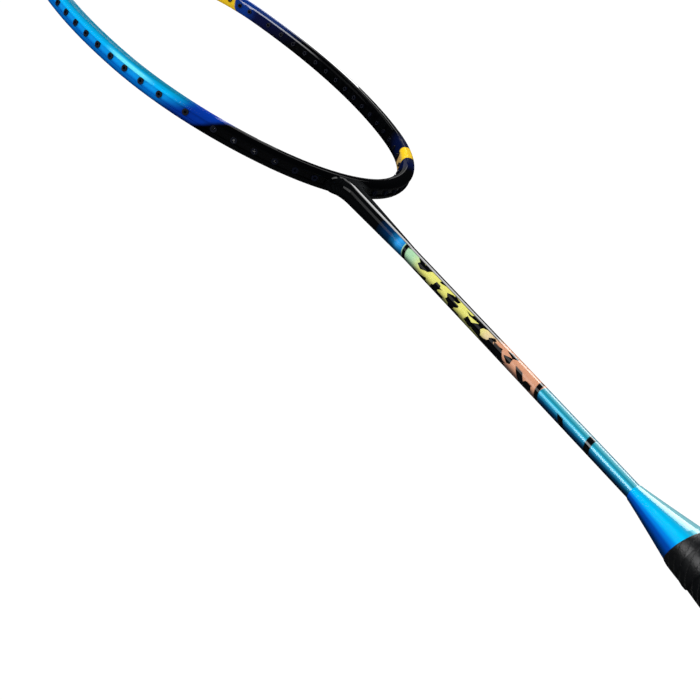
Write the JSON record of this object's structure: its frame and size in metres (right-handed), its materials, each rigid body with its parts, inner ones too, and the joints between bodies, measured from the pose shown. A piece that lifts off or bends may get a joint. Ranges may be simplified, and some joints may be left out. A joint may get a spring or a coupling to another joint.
{
  "type": "badminton racket",
  "caption": "Badminton racket without strings: hollow grommeted hoop, T-joint neck, slim shaft, tapered cone and wrapped octagonal grip.",
  "frame": {"origin": "centre of the butt cap's flat end face", "axes": "+Y along the shaft to the head, +Z normal to the head's face, +X to the right of the head; the racket lies flat"},
  "size_m": [0.2024, 0.675, 0.0276],
  "materials": {
    "hoop_finish": "gloss lacquer over carbon laminate, bright blue fading to black",
    "joint_black": "black gloss lacquer",
    "shaft_finish": "gloss lacquer over a carbon tube",
    "cone_plastic": "satin moulded plastic",
    "handle_wood": "raw",
    "cap_plastic": "fine moulded texture",
    "badge_plastic": "satin",
    "brad_steel": "bright",
    "grip_cushion": "soft matt with fine perforations",
    "tape": "satin tape",
    "grommet_nylon": "matt moulded nylon"
  },
  "bodies": {
    "root": {"hoop": "hoop_finish", "throat_joint": "joint_black", "shaft": "shaft_finish", "cone_cap": "cone_plastic", "handle_core": "handle_wood", "butt_cap": "cap_plastic", "butt_badge": "badge_plastic", "cap_brads": "brad_steel", "grip_wrap": "grip_cushion", "finishing_tape": "tape", "grommets_crown": "grommet_nylon", "grommets_shoulder_left": "grommet_nylon", "grommets_shoulder_right": "grommet_nylon", "grommets_side_left_upper": "grommet_nylon", "grommets_side_left_lower": "grommet_nylon", "grommets_side_right_upper": "grommet_nylon", "grommets_side_right_lower": "grommet_nylon", "grommets_throat_left": "grommet_nylon", "grommets_throat_right": "grommet_nylon"}
  },
  "joints": []
}
